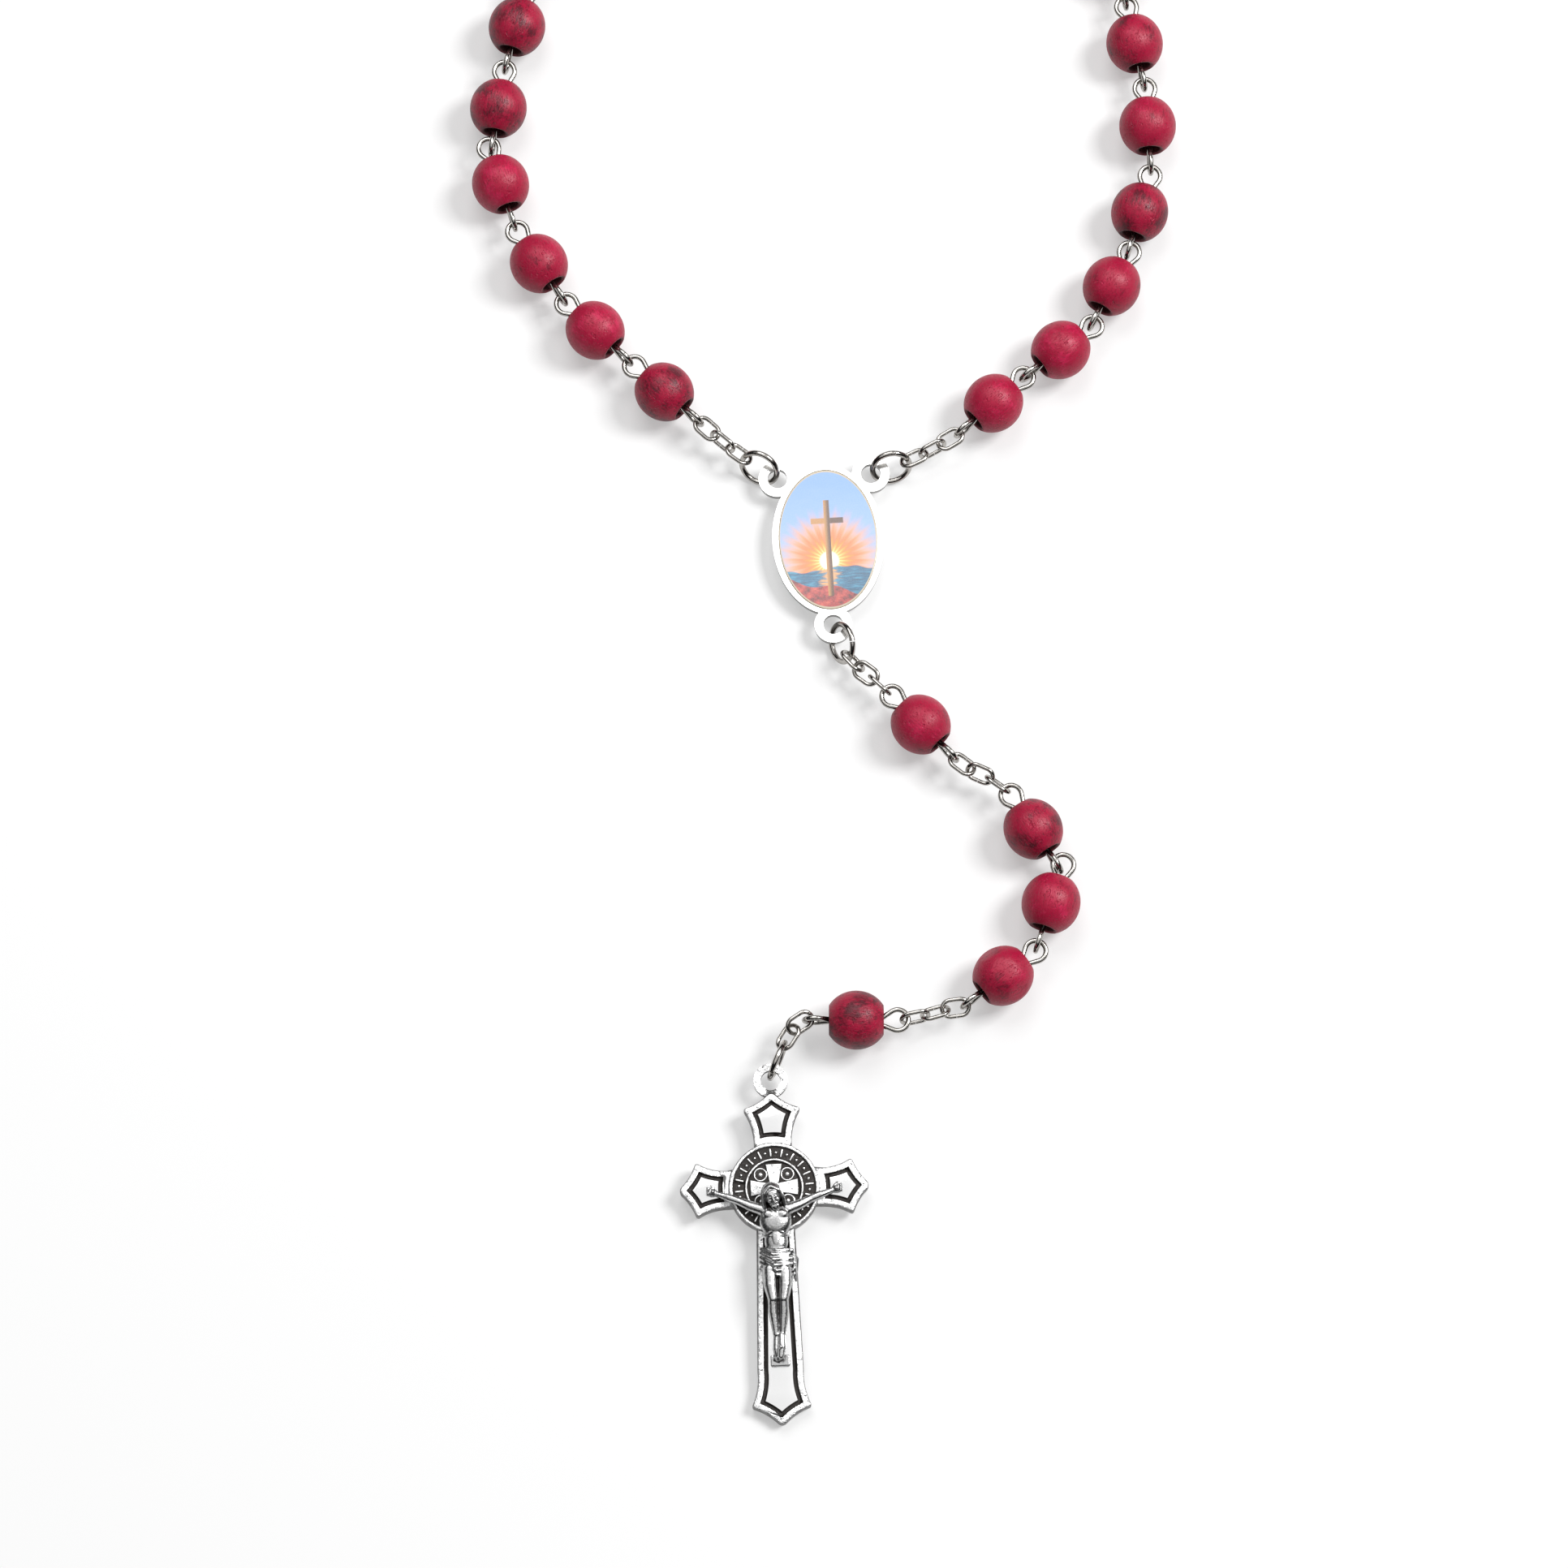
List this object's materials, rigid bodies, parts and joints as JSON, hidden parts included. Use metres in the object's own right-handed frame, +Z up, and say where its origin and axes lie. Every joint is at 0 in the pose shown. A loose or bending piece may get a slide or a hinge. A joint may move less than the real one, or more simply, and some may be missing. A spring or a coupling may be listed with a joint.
{
  "type": "rosary",
  "caption": "Prayer rosary of round stained wooden beads on linked wire eye pins, with an oval centre medal and a flared crucifix on a beaded pendant.",
  "frame": {"origin": "on the surface that the rosary lies on, under the middle of its laid-out length and width", "axes": "+Z up from the surface, +Y along its length from the crucifix towards the top of the loop, +X to the right"},
  "size_m": [0.1052, 0.476, 0.008],
  "materials": {
    "stained_wood": "red-pink stained wood, satin",
    "nickel_wire": "nickel-plated wire",
    "medal_metal": "polished nickel plate",
    "picture_print": "printed picture under clear resin",
    "crucifix_metal": "silver-coloured casting with darkened recesses",
    "figure_metal": "antiqued silver-coloured casting"
  },
  "bodies": {
    "medal": {"medal_frame": "medal_metal", "medal_picture": "picture_print"},
    "left_ring": {"left_jump_ring": "nickel_wire"},
    "left_lead": {"left_lead_links": "nickel_wire"},
    "left_decade_1a": {"left_decade_1a_beads": "stained_wood", "left_decade_1a_eye_pins": "nickel_wire"},
    "left_decade_1b": {"left_decade_1b_beads": "stained_wood", "left_decade_1b_eye_pins": "nickel_wire"},
    "left_our_father_1": {"left_our_father_1_bead": "stained_wood", "left_our_father_1_wirework": "nickel_wire"},
    "left_decade_2a": {"left_decade_2a_beads": "stained_wood", "left_decade_2a_eye_pins": "nickel_wire"},
    "left_decade_2b": {"left_decade_2b_beads": "stained_wood", "left_decade_2b_eye_pins": "nickel_wire"},
    "left_our_father_2": {"left_our_father_2_bead": "stained_wood", "left_our_father_2_wirework": "nickel_wire"},
    "right_ring": {"right_jump_ring": "nickel_wire"},
    "right_lead": {"right_lead_links": "nickel_wire"},
    "right_decade_1a": {"right_decade_1a_beads": "stained_wood", "right_decade_1a_eye_pins": "nickel_wire"},
    "right_decade_1b": {"right_decade_1b_beads": "stained_wood", "right_decade_1b_eye_pins": "nickel_wire"},
    "right_our_father_1": {"right_our_father_1_bead": "stained_wood", "right_our_father_1_wirework": "nickel_wire"},
    "right_decade_2a": {"right_decade_2a_beads": "stained_wood", "right_decade_2a_eye_pins": "nickel_wire"},
    "right_decade_2b": {"right_decade_2b_beads": "stained_wood", "right_decade_2b_eye_pins": "nickel_wire"},
    "right_our_father_2": {"right_our_father_2_bead": "stained_wood", "right_our_father_2_wirework": "nickel_wire"},
    "top_decade": {"top_decade_beads": "stained_wood", "top_decade_eye_pins": "nickel_wire"},
    "pendant_ring": {"pendant_jump_ring": "nickel_wire"},
    "pendant_link_1a": {"pendant_link_1a": "nickel_wire"},
    "pendant_link_1b": {"pendant_link_1b": "nickel_wire"},
    "pendant_link_1c": {"pendant_link_1c": "nickel_wire"},
    "pendant_pin_1": {"pendant_eye_pin_1": "nickel_wire"},
    "pendant_bead_1": {"pendant_bead_1": "stained_wood"},
    "pendant_link_2a": {"pendant_link_2a": "nickel_wire"},
    "pendant_link_2b": {"pendant_link_2b": "nickel_wire"},
    "pendant_link_2c": {"pendant_link_2c": "nickel_wire"},
    "pendant_pin_2": {"pendant_eye_pin_2": "nickel_wire"},
    "pendant_bead_2": {"pendant_bead_2": "stained_wood"},
    "pendant_pin_3": {"pendant_eye_pin_3": "nickel_wire"},
    "pendant_bead_3": {"pendant_bead_3": "stained_wood"},
    "pendant_pin_4": {"pendant_eye_pin_4": "nickel_wire"},
    "pendant_bead_4": {"pendant_bead_4": "stained_wood"},
    "pendant_link_3a": {"pendant_link_3a": "nickel_wire"},
    "pendant_link_3b": {"pendant_link_3b": "nickel_wire"},
    "pendant_link_3c": {"pendant_link_3c": "nickel_wire"},
    "pendant_pin_5": {"pendant_eye_pin_5": "nickel_wire"},
    "pendant_bead_5": {"pendant_bead_5": "stained_wood"},
    "pendant_link_4a": {"pendant_link_4a": "nickel_wire"},
    "pendant_link_4b": {"pendant_link_4b": "nickel_wire"},
    "crucifix_ring": {"crucifix_jump_ring": "nickel_wire"},
    "crucifix": {"crucifix_cross": "crucifix_metal", "crucifix_figure": "figure_metal"}
  },
  "joints": [
    {"name": "left_ring_lift", "type": "hinge", "parent": "medal", "child": "left_ring", "pos_m": [-0.00711, -0.10605, 0.0022], "axis": [0.9983, 0.0576, 0], "range_deg": [-5, 20]},
    {"name": "right_ring_lift", "type": "hinge", "parent": "medal", "child": "right_ring", "pos_m": [0.00587, -0.1053, 0.0022], "axis": [0.9983, 0.0576, 0], "range_deg": [-5, 20]},
    {"name": "left_lead_fold", "type": "hinge", "parent": "left_ring", "child": "left_lead", "pos_m": [-0.01097, -0.10369, 0.00319], "axis": [0.9999, -0.0143, 0], "range_deg": [-30, 25]},
    {"name": "right_lead_fold", "type": "hinge", "parent": "right_ring", "child": "right_lead", "pos_m": [0.01021, -0.104, 0.00319], "axis": [0.9999, -0.0143, 0], "range_deg": [-30, 25]},
    {"name": "left_decade_1a_fold", "type": "hinge", "parent": "left_lead", "child": "left_decade_1a", "pos_m": [-0.01761, -0.09848, 0.004], "axis": [0.9989, -0.0471, 0], "range_deg": [-25, 20]},
    {"name": "right_decade_1a_fold", "type": "hinge", "parent": "right_lead", "child": "right_decade_1a", "pos_m": [0.01772, -0.10015, 0.004], "axis": [0.9989, -0.0471, 0], "range_deg": [-25, 20]},
    {"name": "left_decade_1b_bend", "type": "hinge", "parent": "left_decade_1a", "child": "left_decade_1b", "pos_m": [-0.04571, -0.04608, 0.004], "axis": [0, 0, 1], "range_deg": [-20, 20]},
    {"name": "left_our_father_1_bend", "type": "hinge", "parent": "left_decade_1b", "child": "left_our_father_1", "pos_m": [-0.03937, 0.01637, 0.004], "axis": [0, 0, 1], "range_deg": [-20, 20]},
    {"name": "left_decade_2a_bend", "type": "hinge", "parent": "left_our_father_1", "child": "left_decade_2a", "pos_m": [-0.03964, 0.04583, 0.004], "axis": [0, 0, 1], "range_deg": [-20, 20]},
    {"name": "left_decade_2b_bend", "type": "hinge", "parent": "left_decade_2a", "child": "left_decade_2b", "pos_m": [-0.04467, 0.10846, 0.004], "axis": [0, 0, 1], "range_deg": [-20, 20]},
    {"name": "left_our_father_2_sway", "type": "hinge", "parent": "left_decade_2b", "child": "left_our_father_2", "pos_m": [-0.04863, 0.17131, 0.004], "axis": [0, 0, 1], "range_deg": [-20, 20]},
    {"name": "right_decade_1b_bend", "type": "hinge", "parent": "right_decade_1a", "child": "right_decade_1b", "pos_m": [0.04477, -0.04868, 0.004], "axis": [0, 0, 1], "range_deg": [-20, 20]},
    {"name": "right_our_father_1_bend", "type": "hinge", "parent": "right_decade_1b", "child": "right_our_father_1", "pos_m": [0.03973, 0.01395, 0.004], "axis": [0, 0, 1], "range_deg": [-20, 20]},
    {"name": "right_decade_2a_bend", "type": "hinge", "parent": "right_our_father_1", "child": "right_decade_2a", "pos_m": [0.03946, 0.04341, 0.004], "axis": [0, 0, 1], "range_deg": [-20, 20]},
    {"name": "right_decade_2b_bend", "type": "hinge", "parent": "right_decade_2a", "child": "right_decade_2b", "pos_m": [0.0458, 0.10586, 0.004], "axis": [0, 0, 1], "range_deg": [-20, 20]},
    {"name": "right_our_father_2_sway", "type": "hinge", "parent": "right_decade_2b", "child": "right_our_father_2", "pos_m": [0.04866, 0.16876, 0.004], "axis": [0, 0, 1], "range_deg": [-20, 20]},
    {"name": "top_decade_sway", "type": "hinge", "parent": "left_our_father_2", "child": "top_decade", "pos_m": [-0.04891, 0.20109, 0.004], "axis": [0, 0, 1], "range_deg": [-20, 20]},
    {"name": "pendant_ring_turn", "type": "hinge", "parent": "medal", "child": "pendant_ring", "pos_m": [0.00062, -0.12714, 0.0022], "axis": [0, 0, -1], "range_deg": [-40, 40]},
    {"name": "pendant_link_1a_swing", "type": "hinge", "parent": "pendant_ring", "child": "pendant_link_1a", "pos_m": [0.00285, -0.13215, 0.00328], "axis": [0.3835, 0.3679, 0.8471], "range_deg": [-40, 40]},
    {"name": "pendant_link_1b_swing", "type": "hinge", "parent": "pendant_link_1a", "child": "pendant_link_1b", "pos_m": [0.0045, -0.13398, 0.00351], "axis": [0.5023, 0.3519, -0.7898], "range_deg": [-40, 40]},
    {"name": "pendant_link_1c_swing", "type": "hinge", "parent": "pendant_link_1b", "child": "pendant_link_1c", "pos_m": [0.00565, -0.13488, 0.00365], "axis": [-0.2164, -0.0919, 0.972], "range_deg": [-40, 40]},
    {"name": "pendant_pin_1_swing", "type": "hinge", "parent": "pendant_link_1c", "child": "pendant_pin_1", "pos_m": [0.0083, -0.13744, 0.004], "axis": [0.2164, 0.0919, -0.972], "range_deg": [-40, 40]},
    {"name": "pendant_bead_1_spin", "type": "hinge", "parent": "pendant_pin_1", "child": "pendant_bead_1", "pos_m": [0.01256, -0.14185, 0.004], "axis": [0.6947, -0.7193, 0], "continuous": true},
    {"name": "pendant_link_2a_swing", "type": "hinge", "parent": "pendant_pin_1", "child": "pendant_link_2a", "pos_m": [0.01746, -0.14692, 0.004], "axis": [0, 0, 1], "range_deg": [-40, 40]},
    {"name": "pendant_link_2b_swing", "type": "hinge", "parent": "pendant_link_2a", "child": "pendant_link_2b", "pos_m": [0.01896, -0.1481, 0.004], "axis": [-0.2876, -0.646, -0.7071], "range_deg": [-40, 40]},
    {"name": "pendant_link_2c_swing", "type": "hinge", "parent": "pendant_link_2b", "child": "pendant_link_2c", "pos_m": [0.02155, -0.14925, 0.004], "axis": [-0.2249, -0.3096, 0.9239], "range_deg": [-40, 40]},
    {"name": "pendant_pin_2_swing", "type": "hinge", "parent": "pendant_link_2c", "child": "pendant_pin_2", "pos_m": [0.02454, -0.15142, 0.004], "axis": [0.2249, 0.3096, -0.9239], "range_deg": [-40, 40]},
    {"name": "pendant_bead_2_spin", "type": "hinge", "parent": "pendant_pin_2", "child": "pendant_bead_2", "pos_m": [0.02781, -0.15666, 0.004], "axis": [0.5299, -0.848, 0], "continuous": true},
    {"name": "pendant_pin_3_swing", "type": "hinge", "parent": "pendant_pin_2", "child": "pendant_pin_3", "pos_m": [0.03155, -0.16264, 0.004], "axis": [0, 0, 1], "range_deg": [-30, 40]},
    {"name": "pendant_bead_3_spin", "type": "hinge", "parent": "pendant_pin_3", "child": "pendant_bead_3", "pos_m": [0.03012, -0.16704, 0.004], "axis": [-0.309, -0.9511, 0], "continuous": true},
    {"name": "pendant_pin_4_swing", "type": "hinge", "parent": "pendant_pin_3", "child": "pendant_pin_4", "pos_m": [0.02794, -0.17375, 0.004], "axis": [0, 0, -1], "range_deg": [-40, 30]},
    {"name": "pendant_bead_4_spin", "type": "hinge", "parent": "pendant_pin_4", "child": "pendant_bead_4", "pos_m": [0.0235, -0.17722, 0.004], "axis": [-0.788, -0.6157, 0], "continuous": true},
    {"name": "pendant_link_3a_swing", "type": "hinge", "parent": "pendant_pin_4", "child": "pendant_link_3a", "pos_m": [0.01795, -0.18156, 0.004], "axis": [0, 0, 1], "range_deg": [-40, 40]},
    {"name": "pendant_link_3b_swing", "type": "hinge", "parent": "pendant_link_3a", "child": "pendant_link_3b", "pos_m": [0.01606, -0.18182, 0.004], "axis": [-0.1949, 0.6797, -0.7071], "range_deg": [-40, 40]},
    {"name": "pendant_link_3c_swing", "type": "hinge", "parent": "pendant_link_3b", "child": "pendant_link_3c", "pos_m": [0.01334, -0.1826, 0.004], "axis": [-0.0796, 0.3743, 0.9239], "range_deg": [-40, 40]},
    {"name": "pendant_pin_5_swing", "type": "hinge", "parent": "pendant_link_3c", "child": "pendant_pin_5", "pos_m": [0.00972, -0.18337, 0.004], "axis": [0.0796, -0.3743, -0.9239], "range_deg": [-40, 40]},
    {"name": "pendant_bead_5_spin", "type": "hinge", "parent": "pendant_pin_5", "child": "pendant_bead_5", "pos_m": [0.00359, -0.18337, 0.004], "axis": [-1, 0, 0], "continuous": true},
    {"name": "pendant_link_4a_swing", "type": "hinge", "parent": "pendant_pin_5", "child": "pendant_link_4a", "pos_m": [-0.00346, -0.18337, 0.004], "axis": [0, 0, 1], "range_deg": [-40, 40]},
    {"name": "pendant_link_4b_swing", "type": "hinge", "parent": "pendant_link_4a", "child": "pendant_link_4b", "pos_m": [-0.00463, -0.18416, 0.004], "axis": [-0.7344, 0.4589, -0.5], "range_deg": [-40, 10]},
    {"name": "crucifix_ring_swing", "type": "hinge", "parent": "pendant_link_4b", "child": "crucifix_ring", "pos_m": [-0.00608, -0.18647, 0.004], "axis": [-0.1152, -0.2713, 0.9556], "range_deg": [-35, 35]},
    {"name": "crucifix_turn", "type": "hinge", "parent": "crucifix_ring", "child": "crucifix", "pos_m": [-0.008, -0.1915, 0.0026], "axis": [-0.0013, 0.0362, -0.9993], "range_deg": [-45, 45]}
  ],
  "couplings": [
    {"joint": "right_ring_lift", "follows": "left_ring_lift", "ratio": 1},
    {"joint": "right_lead_fold", "follows": "left_lead_fold", "ratio": 1},
    {"joint": "right_decade_1a_fold", "follows": "left_decade_1a_fold", "ratio": 1},
    {"joint": "left_our_father_1_bend", "follows": "left_decade_1b_bend", "ratio": -1},
    {"joint": "left_decade_2a_bend", "follows": "left_decade_1b_bend", "ratio": -1},
    {"joint": "left_decade_2b_bend", "follows": "left_decade_1b_bend", "ratio": 1},
    {"joint": "right_decade_1b_bend", "follows": "left_decade_1b_bend", "ratio": -1},
    {"joint": "right_our_father_1_bend", "follows": "left_decade_1b_bend", "ratio": 1},
    {"joint": "right_decade_2a_bend", "follows": "left_decade_1b_bend", "ratio": 1},
    {"joint": "right_decade_2b_bend", "follows": "left_decade_1b_bend", "ratio": -1},
    {"joint": "right_our_father_2_sway", "follows": "left_our_father_2_sway", "ratio": 1},
    {"joint": "top_decade_sway", "follows": "left_our_father_2_sway", "ratio": -1}
  ]
}
